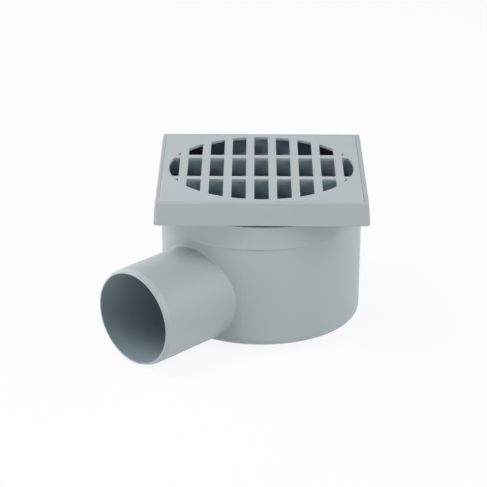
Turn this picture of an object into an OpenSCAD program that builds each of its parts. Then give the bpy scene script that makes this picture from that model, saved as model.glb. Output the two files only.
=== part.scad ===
// Floor drain with a square grating, a turning frame and a 50 mm side outlet.
// Millimetres, +Z up. The origin is the centre of the foot ring that the drain stands on.
// The sides of the frame lie along X and Y, and the outlet points towards -X and -Y.

/* [Frame] */
// Width of the square frame across its top face
frame_w = 105.2; // [104:0.2:110]
// Height of the frame from its lower edge to its top face
frame_h = 11.9; // [11:0.1:14]
// How far each side leans out from the top edge to the lower edge
frame_flare = 0.9; // [0:0.1:1.2]
// Width of the frame's rim beside the grating
rim_w = 2.1; // [1.6:0.1:2.6]
// Thickness of the frame's floor
frame_floor_t = 2.3; // [1.6:0.1:2.4]
// Radius of the frame's upright corners
frame_corner_r = 1.6; // [1:0.1:3]
// Rounding of the frame's top edge
frame_edge_r = 0.5; // [0.3:0.1:0.9]
// Height of the frame above the pot's rim, as it stands now
frame_lift = 1.5; // [0.4:0.1:7]

/* [Grate] */
// Gap between the grating and the frame
grate_gap = 0.2; // [0.15:0.05:0.5]
// Thickness of the grating's plate
plate_t = 1.5; // [1.2:0.1:2]
// Distance between the middles of two slots in a row
slot_pitch = 11.4; // [11:0.1:12]
// Width of a slot
slot_w = 7.2; // [6:0.1:7.6]
// Slots in a row, the clipped end ones included
slot_columns = 9; // [5:2:9]
// Distance from the grating's middle to the middle of each cross bar
cross_bar_y = 16.1; // [14:0.1:18]
// Width of a cross bar
cross_bar_w = 5; // [4:0.1:6]
// Diameter of the circle that clips the slots
slot_circle_d = 94; // [88:0.5:95]
// Height of the ribs below the plate
rib_h = 7.7; // [5:0.1:8]
// How much a rib narrows on each flank towards its foot
rib_draft = 0.5; // [0:0.1:0.8]

/* [Pot] */
// Outer diameter of the pot just under its collar
pot_d = 103.2; // [102:0.2:104]
// Outer diameter of the pot just above its rounded base edge
pot_base_d = 102.4; // [101:0.2:103]
// Height of the pot from the underside of its floor to its rim
pot_h = 65.1; // [62:0.1:80]
// Wall thickness of the pot
pot_wall = 2; // [1.6:0.1:2.4]
// Radius of the rounded base edge
base_round = 5.1; // [3:0.1:8]
// Height of the collar at the pot's mouth
collar_h = 11.6; // [11.5:0.1:16]
// How far the collar stands proud of the pot
collar_step = 0.5; // [0.2:0.1:0.8]
// Outer diameter of the foot ring under the base
foot_d = 79; // [60:1:80]
// Width of the foot ring
foot_w = 3; // [2:0.5:5]
// Height of the foot ring
foot_h = 2.8; // [2.4:0.1:5]

/* [Outlet] */
// Outer diameter of the outlet spigot
outlet_d = 50; // [40, 50]
// Wall thickness of the outlet spigot
outlet_wall = 2; // [1.6:0.1:2.6]
// Distance from the pot's axis to the end of the outlet
outlet_reach = 92.3; // [75:0.1:130]
// Length of the straight end that a pipe socket takes
outlet_straight = 34; // [30:0.5:36]
// Length of the chamfer that guides a socket on
outlet_guide = 3; // [1:0.1:4]
// Height of the outlet's axis over the underside of the pot's floor, at the pot's axis
outlet_rise = 24.65; // [24.5:0.05:34]
// Turn of the outlet away from the frame's front side, in degrees
outlet_turn = 43.5; // [0:0.5:90]
// Fall of the outlet, in parts of a hundred
outlet_fall = 2; // [0:0.1:2.5]
// Radius of the hollow round where the outlet leaves the pot
root_round = 2; // [1.5:0.1:4]

/* [Seals] */
// Thickness of the round sealing cord between the frame and the pot
ring_cord = 3.5; // [3:0.1:3.5]
// Thickness of the flat gasket under the flange of the cup
gasket_t = 1.2; // [1:0.1:1.4]

/* [Trap] */
// Outer diameter of the trap cup under its flange
cup_d = 87.8; // [84:0.2:88]
// Wall thickness of the cup and the bell
trap_wall = 1.6; // [1.4:0.1:1.8]
// Depth from the flange of the cup to the underside of its floor
cup_depth = 32; // [31:0.5:34]
// Bore of the standpipe in the cup
standpipe_bore_d = 34; // [28:1:38]
// Outer diameter of the bell
bell_d = 56; // [50:1:64]
// Depth of the water that closes the trap
water_seal = 20; // [15:0.5:20]

/* [Hidden] */

$fn = 96;
eps = 0.01;             // overlap that makes joined shapes one solid
plastic = "#b8c0c4";
rubber = "#26282a";
dark_plastic = "#3a3d40";

// Levels, from the floor up
pot_base_z = foot_h;
rim_z = pot_base_z + pot_h;
collar_z = rim_z - collar_h;
frame_z = rim_z + frame_lift;
top_z = frame_z + frame_h;
tray_z = frame_z + frame_floor_t;
pot_floor_z = pot_base_z + pot_wall;

// Pot
pot_r = pot_d / 2;
pot_base_r = pot_base_d / 2;
collar_r = pot_r + collar_step;
collar_wall = 2.1;
socket_r = collar_r - collar_wall;
bore_top_r = pot_r - pot_wall - 0.1;
bore_base_r = pot_base_r - pot_wall;
inner_round = base_round - pot_wall;
socket_z = collar_z - 1.6;
foot_draft = 0.3;
hub_r = 7;                                 // under the middle of the floor, level with the foot ring
foot_rib_count = 6;
foot_rib_t = 2;
foot_rib_gap = 0.8;                        // the ribs end this far above the ground
edge_chamfer = 0.4;
lead_in = 0.8;

// Outlet
outlet_r = outlet_d / 2;
outlet_bore_r = outlet_r - outlet_wall;
outlet_z = pot_base_z + outlet_rise;
outlet_tilt = atan(outlet_fall / 100);
outlet_root = foot_d / 2 - foot_w / 2;     // where the tube starts, inside the foot ring
outlet_sill = bore_base_r - 5;             // where its bore starts, inside the pot
outlet_guide_r = 1.1;                      // how far that chamfer narrows the end
outlet_swell = 0.15;                       // extra radius at the root, where the straight end stops

// Frame
frame_half = frame_w / 2;
tray_half = frame_half - rim_w;
tray_corner_r = 1;
throat_r = tray_half - 3.9;                // round hole in the frame's floor
spigot_wall = 2;
ring_fit = 0.05;                           // running clearance of the sealing cord
gland_fit = 0.1;                           // end play of the cord between its two collars
spigot_r = socket_r - ring_cord - 2 * ring_fit;
spigot_bore_r = spigot_r - spigot_wall;
shelf_z = frame_z - 2;                     // shelf that carries the gasket and the cup
spigot_end_z = shelf_z - 16.4;
throat_wall_r = throat_r + 1.8;
ring_z = shelf_z - 8.8;                    // middle of the sealing cord
ring_r = spigot_r + ring_fit + ring_cord / 2;
gland_collar_t = 1.5;
gland_collar_r = socket_r - 1;

// Grate
plate_half = tray_half - grate_gap;
plate_corner_r = tray_corner_r - 0.15;
slot_circle_r = slot_circle_d / 2;
bar_w = slot_pitch - slot_w;
skirt_t = 1.6;
skirt_half = slot_circle_r + 2.4;
rib_half = skirt_half - skirt_t / 2;
rib_z = top_z - plate_t - rib_h;

// Trap
cup_r = cup_d / 2;
flange_z = shelf_z + gasket_t;
flange_t = 1.5;
flange_r = throat_r - 0.25;
cup_base_z = flange_z - cup_depth;
cup_floor_z = cup_base_z + trap_wall;
cup_draft = 0.6;
cup_round = 3;
bell_foot_gap = 3;                         // water passage under the edge of the bell
bell_foot_z = cup_floor_z + bell_foot_gap;
pipe_rim_z = bell_foot_z + water_seal;
pipe_bore_r = standpipe_bore_d / 2;
pipe_r = pipe_bore_r + trap_wall;
pipe_stub_h = 4;
bell_r = bell_d / 2;
bell_draft = 0.5;
bell_head = 6;                             // air passage over the rim of the standpipe
bell_round = 5;
crown_z = pipe_rim_z + bell_head + trap_wall;
fin_count = 4;
fin_t = 1.5;
fin_reach = 8;
grip_len = 22;
grip_t = 2.5;
grip_h = 2.6;

// Square with round corners, centred
module round_square(half, r) {
    square([2 * (half - r), 2 * half], center = true);
    square([2 * half, 2 * (half - r)], center = true);
    for (sx = [-1, 1], sy = [-1, 1])
        translate([sx * (half - r), sy * (half - r)]) circle(r);
}

// Ring of rectangular section between two radii and two levels
module band(r_in, r_out, z0, z1) {
    rotate_extrude()
        translate([r_in, z0]) square([r_out - r_in, z1 - z0]);
}

// Places its children on the outlet's axis, with +Z pointing out of the drain
module on_outlet_axis() {
    translate([0, 0, outlet_z])
        rotate([0, 0, -outlet_turn])
            rotate([90 + outlet_tilt, 0, 0]) children();
}

// Half section of a round vessel with a rounded base edge, full to its axis
module vessel(foot_r, mouth_r, z0, z1, round_r) {
    polygon([
        [0, z0],
        [foot_r - round_r, z0],
        [foot_r, z0 + round_r],
        [mouth_r, z1],
        [0, z1]
    ]);
    intersection() {
        translate([foot_r - round_r, z0 + round_r]) circle(round_r);
        translate([0, z0]) square([foot_r, round_r]);
    }
}

// Half section of the pot's outside: leaning wall, collar, foot ring and hub
module pot_outside() {
    foot_r = foot_d / 2;
    vessel(pot_base_r, pot_r, pot_base_z, collar_z, base_round);
    polygon([
        [0, collar_z - eps],
        [pot_r, collar_z - eps],
        [collar_r, collar_z + edge_chamfer],
        [collar_r, rim_z - edge_chamfer],
        [collar_r - edge_chamfer, rim_z],
        [0, rim_z]
    ]);
    polygon([
        [foot_r - foot_w, pot_base_z + eps],
        [foot_r - foot_w + foot_draft, 0],
        [foot_r - foot_draft, 0],
        [foot_r, pot_base_z + eps]
    ]);
    square([hub_r, pot_base_z + eps]);
}

// Ribs under the floor, from the hub to the foot ring
module foot_ribs() {
    for (i = [0 : foot_rib_count - 1])
        rotate([0, 0, i * 360 / foot_rib_count])
            translate([hub_r - 1, -foot_rib_t / 2, foot_rib_gap])
                cube([foot_d / 2 - foot_w / 2 - hub_r + 1, foot_rib_t, foot_h - foot_rib_gap + eps]);
}

// Half section of the pot's hollow: sump, then the wider socket for the frame's spigot
module pot_inside() {
    vessel(bore_base_r, bore_top_r, pot_floor_z, socket_z, inner_round);
    polygon([
        [0, socket_z - eps],
        [bore_top_r, socket_z - eps],
        [socket_r, socket_z + socket_r - bore_top_r],
        [socket_r, rim_z - lead_in],
        [socket_r + lead_in, rim_z + eps],
        [0, rim_z + eps]
    ]);
}

// Radius of the pot's outside at a height
function pot_r_at(z) = pot_base_r + (pot_r - pot_base_r)
    * (z - pot_base_z - base_round) / (collar_z - pot_base_z - base_round);

// The hollow round at the outlet's root is the path of a ball that rolls along the corner between
// the tube and the pot. At each angle about the tube its section runs along the ball from the
// tube to the pot, and closes at a point inside both walls. Near the base edge the sections sink
// into the corner until the round is gone.
root_step = 6;
root_end = 42;                             // angle below the sides where the round is gone
root_fade = 18;                            // angle over which it sinks
root_arc = 5;
root_sink = 0.1;
root_angles = [for (a = [-root_end : root_step : 180 + root_end]) a];

function root_sunk(a) = 1 - min(1, (root_end - max(-a, a - 180)) / root_fade);

function ball_centre(a, b) = let (
        reach = outlet_r + b,
        z_guess = outlet_z - pot_r * sin(outlet_tilt) + reach * sin(a),
        x = reach * cos(a),
        y = sqrt(pow(pot_r_at(z_guess) + b, 2) - x * x),
        w = (y - reach * sin(a) * sin(outlet_tilt)) / cos(outlet_tilt)
    ) [x, -y, outlet_z - w * sin(outlet_tilt) + reach * sin(a) * cos(outlet_tilt)];

function unit(v) = v / norm(v);

function root_section(a) = let (
        ball = ball_centre(a, root_round),
        to_tube = -[cos(a), -sin(a) * sin(outlet_tilt), sin(a) * cos(outlet_tilt)],
        to_pot = -unit([ball[0], ball[1], 0]),
        spread = acos(to_tube * to_pot),
        middle = unit(to_tube + to_pot),
        depth = root_round / cos(spread / 2),
        c = ball + middle * root_sunk(a) * (depth - root_round + 4 * root_sink),
        along = [for (i = [0 : root_arc]) let (t = i / root_arc)
            c + (root_round + root_sink)
                * (sin((1 - t) * spread) * to_tube + sin(t * spread) * to_pot) / sin(spread)]
    ) concat(along, [c + middle * (depth + 1)]);

// Solid through a row of closed sections with the same number of points
module skin(sections) {
    n = len(sections[0]);
    m = len(sections);
    sides = [for (i = [0 : m - 2], j = [0 : n - 1], half = [0, 1]) let (
            p = i * n + j,
            q = i * n + (j + 1) % n
        ) half == 0 ? [p, q, q + n] : [p, q + n, p + n]];
    start = [for (j = [n - 1 : -1 : 0]) j];
    finish = [for (j = [0 : n - 1]) (m - 1) * n + j];
    polyhedron(points = [for (s = sections, v = s) v], faces = concat(sides, [start, finish]));
}

module outlet_root_round() {
    rotate([0, 0, -outlet_turn]) skin([for (a = root_angles) root_section(a)]);
}

// Outside of the outlet along +Z: swollen root, straight end, chamfered mouth
module outlet_tube() {
    straight_end = outlet_reach - outlet_guide;
    straight_start = straight_end - outlet_straight;
    translate([0, 0, outlet_root])
        cylinder(r1 = outlet_r + outlet_swell, r2 = outlet_r, h = straight_start - outlet_root);
    translate([0, 0, straight_start]) cylinder(r = outlet_r, h = outlet_straight);
    translate([0, 0, straight_end])
        cylinder(r1 = outlet_r, r2 = outlet_r - outlet_guide_r, h = outlet_guide);
}

// Pot: sump, socket and falling side outlet in one moulding
module pot() {
    color(plastic) difference() {
        union() {
            rotate_extrude() pot_outside();
            foot_ribs();
            on_outlet_axis() outlet_tube();
            outlet_root_round();
        }
        rotate_extrude() pot_inside();
        on_outlet_axis()
            translate([0, 0, outlet_sill])
                cylinder(r = outlet_bore_r, h = outlet_reach - outlet_sill + 1);
    }
}

// Round sealing cord, held between the two collars of the frame's spigot
module seal_ring() {
    color(rubber)
        rotate_extrude() translate([ring_r, ring_z]) circle(d = ring_cord, $fn = 48);
}

// Outside of the square frame: sides that lean out downwards, round corners and top edge
module frame_block() {
    foot_half = frame_half + frame_flare;
    hull() for (sx = [-1, 1], sy = [-1, 1]) {
        translate([sx * (foot_half - frame_corner_r), sy * (foot_half - frame_corner_r), frame_z])
            cylinder(r = frame_corner_r, h = eps, $fn = 32);
        translate([sx * (frame_half - frame_corner_r), sy * (frame_half - frame_corner_r), top_z])
            rotate_extrude($fn = 32) {
                translate([0, -frame_edge_r]) square([frame_corner_r - frame_edge_r, frame_edge_r]);
                intersection() {
                    translate([frame_corner_r - frame_edge_r, -frame_edge_r])
                        circle(frame_edge_r, $fn = 16);
                    translate([0, -frame_edge_r]) square([frame_corner_r, frame_edge_r]);
                }
            }
    }
}

// Half section of the spigot: throat, shelf for the cup, and two collars for the sealing cord
module spigot_section() {
    gland = ring_cord / 2 + gland_fit;
    translate([throat_r, shelf_z]) square([throat_wall_r - throat_r, frame_z - shelf_z + eps]);
    polygon([
        [spigot_bore_r, spigot_end_z],
        [spigot_r - edge_chamfer, spigot_end_z],
        [spigot_r, spigot_end_z + edge_chamfer],
        [spigot_r, shelf_z - 4],
        [throat_wall_r, shelf_z - 2],
        [throat_wall_r, shelf_z + eps],
        [throat_r - eps, shelf_z + eps],
        [throat_r - eps, shelf_z],
        [spigot_bore_r, shelf_z]
    ]);
    for (z = [ring_z + gland, ring_z - gland - gland_collar_t])
        translate([spigot_r - eps, z]) square([gland_collar_r - spigot_r + eps, gland_collar_t]);
}

// Frame: square tray that holds the grating, with a round spigot that turns in the pot
module frame() {
    color(plastic) {
        difference() {
            frame_block();
            translate([0, 0, tray_z])
                linear_extrude(frame_h) round_square(tray_half, tray_corner_r);
            translate([0, 0, frame_z - 1]) cylinder(r = throat_r, h = frame_h);
            translate([0, 0, tray_z - lead_in])
                cylinder(r1 = throat_r, r2 = throat_r + lead_in + eps, h = lead_in + eps);
        }
        rotate_extrude() spigot_section();
    }
}

// Flat gasket between the flange of the cup and the shelf in the spigot
module cup_gasket() {
    color(rubber) band(spigot_bore_r + 0.1, flange_r, shelf_z, flange_z);
}

// Trap cup: hangs in the spigot by its flange and holds the water round its standpipe
module trap_cup() {
    cup_foot_r = cup_r - cup_draft;
    cup_top_z = flange_z + flange_t;
    color(dark_plastic) rotate_extrude() {
        difference() {
            vessel(cup_foot_r, cup_r, cup_base_z, cup_top_z, cup_round);
            vessel(cup_foot_r - trap_wall, cup_r - trap_wall, cup_floor_z, cup_top_z + eps,
                cup_round - trap_wall);
            translate([0, cup_base_z - eps]) square([pipe_bore_r, cup_depth]);
        }
        translate([cup_r - eps, flange_z]) square([flange_r - cup_r, flange_t]);
        translate([pipe_bore_r, cup_base_z - pipe_stub_h])
            square([trap_wall, pipe_rim_z - cup_base_z + pipe_stub_h]);
    }
}

// Bell's outline, turned mouth down, with an inset for its hollow
module bell_outline(inset) {
    translate([0, crown_z - inset]) mirror([0, 1])
        vessel(bell_r - bell_draft - inset, bell_r - inset, 0,
            crown_z - bell_foot_z - inset + (inset > 0 ? eps : 0), bell_round - inset);
}

// One fin inside the bell: it rests on the rim of the standpipe and centres the bell on it
module bell_fin() {
    inner_r = pipe_bore_r - 5;
    slip = 0.4;
    translate([0, fin_t / 2, 0]) rotate([90, 0, 0]) linear_extrude(fin_t) polygon([
        [inner_r, pipe_rim_z],
        [pipe_r + slip, pipe_rim_z],
        [pipe_r + slip, pipe_rim_z - fin_reach],
        [bell_r - bell_draft - trap_wall / 2, pipe_rim_z - fin_reach],
        [bell_r - bell_draft - trap_wall / 2, crown_z - bell_round],
        [bell_r - bell_draft - bell_round, crown_z - trap_wall / 2],
        [inner_r, crown_z - trap_wall / 2]
    ]);
}

// Bell: covers the standpipe, dips into the water of the cup and lifts out by the grip on top
module trap_bell() {
    color(dark_plastic) {
        rotate_extrude() difference() {
            bell_outline(0);
            bell_outline(trap_wall);
        }
        for (i = [0 : fin_count - 1])
            rotate([0, 0, i * 360 / fin_count]) bell_fin();
        translate([0, 0, crown_z - eps + grip_h / 2])
            cube([grip_len, grip_t, grip_h + 2 * eps], center = true);
    }
}

// Every slot of the grid, before the circle clips it
module slot_grid() {
    last = (slot_columns - 1) / 2;
    row_h = slot_circle_r - cross_bar_y;
    for (k = [-last : last]) translate([k * slot_pitch, 0]) {
        square([slot_w, 2 * cross_bar_y - cross_bar_w], center = true);
        for (side = [-1, 1])
            translate([0, side * (cross_bar_y + cross_bar_w / 2 + row_h / 2)])
                square([slot_w, row_h], center = true);
    }
}

// Straight rib along Y with flanks that lean in towards its foot
module rib(width) {
    half = width / 2;
    translate([0, rib_half, rib_z]) rotate([90, 0, 0])
        linear_extrude(2 * rib_half) polygon([
            [-half, rib_h + eps],
            [-half + rib_draft, 0],
            [half - rib_draft, 0],
            [half, rib_h + eps]
        ]);
}

// Grating: clipped slots between bars that are deep ribs below, and a skirt to stand on
module grate() {
    bars = slot_columns - 1;
    color(plastic) {
        translate([0, 0, top_z - plate_t]) linear_extrude(plate_t) difference() {
            round_square(plate_half, plate_corner_r);
            intersection() {
                slot_grid();
                circle(slot_circle_r);
            }
        }
        for (i = [0 : bars - 1])
            translate([(i - (bars - 1) / 2) * slot_pitch, 0, 0]) rib(bar_w);
        for (side = [-1, 1])
            translate([0, side * cross_bar_y, 0]) rotate([0, 0, 90]) rib(cross_bar_w);
        translate([0, 0, tray_z]) linear_extrude(top_z - plate_t - tray_z + eps) difference() {
            square(2 * skirt_half, center = true);
            square(2 * (skirt_half - skirt_t), center = true);
        }
    }
}

pot();
seal_ring();
frame();
cup_gasket();
trap_cup();
trap_bell();
grate();
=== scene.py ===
"""Looks of a floor drain with a slotted grating, a turning frame and a side outlet.

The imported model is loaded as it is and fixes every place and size. The moulded pieces are then
rebuilt as fine surfaces with rounded edges, given their plastic and rubber finishes, and set in a
plain studio. Lengths in the classes are millimetres, and become metres when a mesh is made.
"""

import logging
import math
from dataclasses import dataclass
from enum import Enum
from typing import Callable, Sequence

import bmesh
import bpy
import numpy as np
from mathutils import Matrix


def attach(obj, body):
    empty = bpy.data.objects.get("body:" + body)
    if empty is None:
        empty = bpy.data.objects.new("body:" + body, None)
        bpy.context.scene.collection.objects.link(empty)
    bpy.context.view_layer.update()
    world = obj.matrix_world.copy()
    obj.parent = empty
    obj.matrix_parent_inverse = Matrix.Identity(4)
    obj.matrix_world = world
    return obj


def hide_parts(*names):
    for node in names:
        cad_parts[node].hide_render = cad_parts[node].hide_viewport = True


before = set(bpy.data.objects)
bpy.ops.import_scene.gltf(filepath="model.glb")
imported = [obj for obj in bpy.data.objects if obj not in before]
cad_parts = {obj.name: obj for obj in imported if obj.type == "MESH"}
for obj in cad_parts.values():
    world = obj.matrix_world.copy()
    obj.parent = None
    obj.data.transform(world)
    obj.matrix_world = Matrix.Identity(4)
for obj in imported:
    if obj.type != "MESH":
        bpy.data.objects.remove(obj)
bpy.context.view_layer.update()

LOG = logging.getLogger("floor_drain")
MM = 0.001
IMAGE_SIZE = 487
SENSOR_MM = 36.0
# Face mask of the painted highlight on sharp rounded edges, which also makes them less rough.
EDGE_HIGHLIGHT = "edge_highlight_and_polish"
# Face mask of the painted shade on the faces inside a piece.
INNER_SHADE = "painted_inner_shade"
ARC_SHARE = 0.49  # most of a side that the arc at one of its ends takes
WELD_M = 2e-7  # points this close become one
FULL_EDGE_BEND = 2.0  # bend of an edge with a radius of half a millimetre, in radians per millimetre
LEAST_STEP_MM = 0.02  # shortest distance that a bend is taken over
SHARP_DEG = 32.0  # an edge that bends more stays sharp
FACING = 0.3  # sine of the 17 degrees by which a face must at least look in, or up
TINY = 1e-6  # a length that counts as nothing
NOISE_MIDDLE = (0.3, 0.7)  # range in which most of a noise lies
UP = np.array([0.0, 0.0, 1.0])

Colour = tuple[float, float, float]
Corners = Sequence[Sequence[float]]
Socket = bpy.types.NodeSocket
InnerRule = Callable[[np.ndarray, np.ndarray], np.ndarray]


class Ends(Enum):
    """How the two ends of a row of rings are closed."""

    LOOP = "the last ring joins the first"
    FLAT = "each end ring is one flat face"
    POLE = "each end ring runs to a point on its axis"


class Cut(Enum):
    """What a solid does to the one that it meets."""

    ADD = "UNION"
    TAKE = "DIFFERENCE"


@dataclass
class Surface:
    """Closed surface: points in millimetres, and faces as lists of point numbers."""

    points: np.ndarray
    faces: list[list[int]]

    def moved(self, turn: np.ndarray, shift: np.ndarray | float = 0.0) -> "Surface":
        """Copy whose point p lies at turn times p, plus shift."""
        return Surface(self.points @ turn.T + shift, self.faces)

    def shifted(self, x: float, y: float) -> "Surface":
        """Copy that lies x to the right and y to the back."""
        return Surface(self.points + [x, y, 0.0], self.faces)


def turn_about(axis: str, angle: float) -> np.ndarray:
    """Turn about an axis by an angle in radians, as a matrix."""
    return np.array(Matrix.Rotation(angle, 3, axis))


def unit(arms: np.ndarray) -> np.ndarray:
    """Arms of length 1 in the same directions."""
    return arms / np.linalg.norm(arms, axis=-1, keepdims=True)


def swung(
    first: np.ndarray, final: np.ndarray, spread: np.ndarray | float, t: np.ndarray
) -> np.ndarray:
    """Arms that turn evenly from the first, where t is 0, to the final one, where t is 1.

    The arm at t is (sin((1 - t) s) first + sin(t s) final) / sin s, with s the angle between them.

    Args:
        first: arm where t is 0.
        final: arm where t is 1.
        spread: the angle s in radians.
        t: shares of the turn.

    Returns:
        The arms.
    """
    return (np.sin((1 - t) * spread) * first + np.sin(t * spread) * final) / np.sin(spread)


def joined(parts: Sequence[Surface]) -> Surface:
    """Puts surfaces that don't touch into one.

    Args:
        parts: the surfaces.

    Returns:
        One surface with all their points, each part's point numbers raised by the points before.
    """
    starts = np.cumsum([0] + [len(part.points) for part in parts])
    faces = [
        [int(start) + n for n in face] for start, part in zip(starts, parts) for face in part.faces
    ]
    return Surface(np.vstack([part.points for part in parts]), faces)


def around(part: Surface, count: int) -> Surface:
    """Copies of a part at even turns about the Z axis."""
    return joined([part.moved(turn_about("Z", 2 * math.pi * n / count)) for n in range(count)])


def loft(rings: np.ndarray, ends: Ends) -> Surface:
    """Joins a row of closed rings into a surface.

    Point j of ring i makes a face with its neighbour j + 1, the last one's neighbour being the
    first, and with the same two points of ring i + 1.

    Args:
        rings: array of rings, by points, by x y z.
        ends: how the first and the last ring are closed.

    Returns:
        The surface.
    """
    rows, columns = rings.shape[:2]
    last = rows if ends is Ends.LOOP else rows - 1
    i, j = np.meshgrid(np.arange(last), np.arange(columns), indexing="ij")
    after, below = (j + 1) % columns, (i + 1) % rows
    faces = np.stack(
        [i * columns + j, i * columns + after, below * columns + after, below * columns + j], -1
    ).reshape(-1, 4).tolist()
    points = rings.reshape(-1, 3)
    final = (rows - 1) * columns
    if ends is Ends.FLAT:
        faces.append(list(range(columns - 1, -1, -1)))
        faces.append(list(range(final, final + columns)))
    if ends is Ends.POLE:
        start, finish = len(points), len(points) + 1
        points = np.vstack([points, rings[0].mean(0), rings[-1].mean(0)])
        faces += [[(n + 1) % columns, n, start] for n in range(columns)]
        faces += [[final + n, final + (n + 1) % columns, finish] for n in range(columns)]
    return Surface(points, faces)


def rounded(corners: Corners, closed: bool, steps: int = 5) -> np.ndarray:
    """Rounds the corners of a flat line.

    At a corner the two sides make an angle t. The arc of radius r touches them at a distance
    r / tan(t / 2) from the corner, and its middle lies on their bisector at r / sin(t / 2). Its
    points turn evenly from one touching point to the other.

    Args:
        corners: rows of x, y and the radius, which is 0 at a corner that stays sharp.
        closed: whether the last corner joins the first.
        steps: parts of an arc that turns by a right angle.

    Returns:
        The line's points, as an array of x and y.
    """
    rows = np.array(corners, float)
    count = len(rows)
    line: list[np.ndarray] = []
    for n, (x, y, radius) in enumerate(rows):
        here = np.array([x, y])
        if radius <= 0 or (not closed and n in (0, count - 1)):
            line.append(here[None])
            continue
        back, ahead = rows[n - 1, :2] - here, rows[(n + 1) % count, :2] - here
        room = min(np.linalg.norm(back), np.linalg.norm(ahead)) * ARC_SHARE
        back, ahead = unit(back), unit(ahead)
        half = math.acos(float(np.clip(back @ ahead, -1, 1))) / 2
        radius = min(radius, room * math.tan(half))
        middle = here + unit(back + ahead) * radius / math.sin(half)
        first = here + back * radius / math.tan(half) - middle
        final = here + ahead * radius / math.tan(half) - middle
        spread = math.pi - 2 * half
        parts = max(2, round(steps * spread / (math.pi / 2)))
        t = np.linspace(0, 1, parts + 1)[:, None]
        line.append(middle + swung(first, final, spread, t))
    return np.vstack(line)


def rectangle(
    x: Sequence[float], y: Sequence[float], corner: float, steps: int = 5
) -> np.ndarray:
    """Rectangle with round corners.

    Args:
        x: where its left and right side run.
        y: where its near and far side run.
        corner: radius of its corners.
        steps: parts of each corner.

    Returns:
        The points as an array of x and y, against the clock.
    """
    (left, right), (near, far) = x, y
    places = ((left, near), (right, near), (right, far), (left, far))
    return rounded([(*place, corner) for place in places], closed=True, steps=steps)


def turn_angles(count: int, lines_at: Sequence[float] = ()) -> np.ndarray:
    """Angles about an axis, in radians: even steps, with close ones where a fine line runs.

    Args:
        count: number of even steps.
        lines_at: angles of the fine lines, in degrees.

    Returns:
        The angles in rising order.
    """
    close, clear = np.array([0.1, 0.2, 0.3, 0.42, 0.6]), 0.7
    even = np.arange(count) * 360 / count
    for line in lines_at:
        even = even[np.abs((even - line + 180) % 360 - 180) > clear]
        even = np.concatenate([even, line + close, line - close, [line]])
    return np.radians(np.sort(even % 360))


def revolve(profile: np.ndarray, angles: np.ndarray, lift: np.ndarray | float = 0.0) -> Surface:
    """Turns a profile about the Z axis.

    The point of radius r and height z stands at ((r + lift) cos t, (r + lift) sin t, z) for each
    angle t. A profile that starts on the axis also ends on it and gets a pole there. Any other
    profile is a closed loop.

    Args:
        profile: array of radius and height.
        angles: the angles t, in radians.
        lift: what is added to the radius, one row for each profile point by one for each angle.

    Returns:
        The surface.
    """
    on_axis = profile[0, 0] < TINY
    radius = profile[:, :1] + lift
    height = np.repeat(profile[:, 1:], len(angles), 1)
    rings = np.stack([radius * np.cos(angles), radius * np.sin(angles), height], -1)
    if not on_axis:
        return loft(rings, Ends.LOOP)
    body = loft(rings[1:-1], Ends.POLE)
    body.points[-2:] = [[0, 0, profile[0, 1]], [0, 0, profile[-1, 1]]]
    return body


def turned(corners: Corners, count: int = 180, steps: int = 5) -> Surface:
    """Rounds a profile of radius, height and rounding, and turns it about the Z axis.

    Args:
        corners: the profile's rows, from the axis to the axis, or else round a closed loop.
        count: number of steps about the axis.
        steps: parts of a rounding that turns by a right angle.

    Returns:
        The surface.
    """
    return revolve(rounded(corners, closed=corners[0][0] > 0, steps=steps), turn_angles(count))


def square_line(
    half: float, corner: float, side_steps: int = 40, arc_steps: int = 8
) -> np.ndarray:
    """Square with round corners about the origin.

    Each quarter is an even row of points along one side, then an arc of a quarter turn about the
    corner's middle. The other quarters are that one turned by right angles.

    Args:
        half: half the square's width.
        corner: radius of its corners.
        side_steps: parts of each straight side.
        arc_steps: parts of each corner.

    Returns:
        The points as an array of x and y, against the clock.
    """
    flat = half - corner
    along = np.linspace(-flat, flat, side_steps + 1)[:-1]
    side = np.stack([np.full(side_steps, half), along], 1)
    t = np.linspace(0, math.pi / 2, arc_steps + 1)[:-1]
    arc = flat + corner * np.stack([np.cos(t), np.sin(t)], 1)
    quarter = np.vstack([side, arc])
    x, y = quarter.T
    return np.vstack([quarter, np.stack([-y, x], 1), -quarter, np.stack([y, -x], 1)])


def at_height(line: np.ndarray, z: float) -> np.ndarray:
    """Flat line of x and y as points at the height z."""
    return np.column_stack([line, np.full(len(line), z)])


def stacked(layers: Sequence[tuple[np.ndarray, float]]) -> Surface:
    """Solid through a row of flat outlines, each with its height."""
    return loft(np.array([at_height(line, z) for line, z in layers]), Ends.FLAT)


def grown(line: np.ndarray, distance: float) -> np.ndarray:
    """Moves a closed convex line outwards.

    Each point moves along the mean of its two sides' outward normals, divided by the cosine of
    half the turn between them, so that both sides move by the same distance.

    Args:
        line: points against the clock.
        distance: how far the sides move.

    Returns:
        The moved points.
    """
    ahead = np.roll(line, -1, 0) - line
    normal = unit(np.stack([ahead[:, 1], -ahead[:, 0]], 1))
    total = normal + np.roll(normal, 1, 0)
    return line + distance * 2 * total / (total * total).sum(1, keepdims=True)


def put(
    name: str, data: bpy.types.ID, axes: np.ndarray | None = None, place: np.ndarray | None = None
) -> bpy.types.Object:
    """Adds an object to the scene.

    Args:
        name: its name.
        data: its mesh, camera or lamp.
        axes: its own three axes as rows, or None for an object that isn't turned.
        place: its place in metres, or None for the origin.

    Returns:
        The object.
    """
    matrix = np.eye(4)
    if axes is not None:
        matrix[:3, :3] = axes.T
    if place is not None:
        matrix[:3, 3] = place
    obj = bpy.data.objects.new(name, data)
    obj.matrix_world = Matrix(matrix.tolist())
    bpy.context.scene.collection.objects.link(obj)
    return obj


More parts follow.
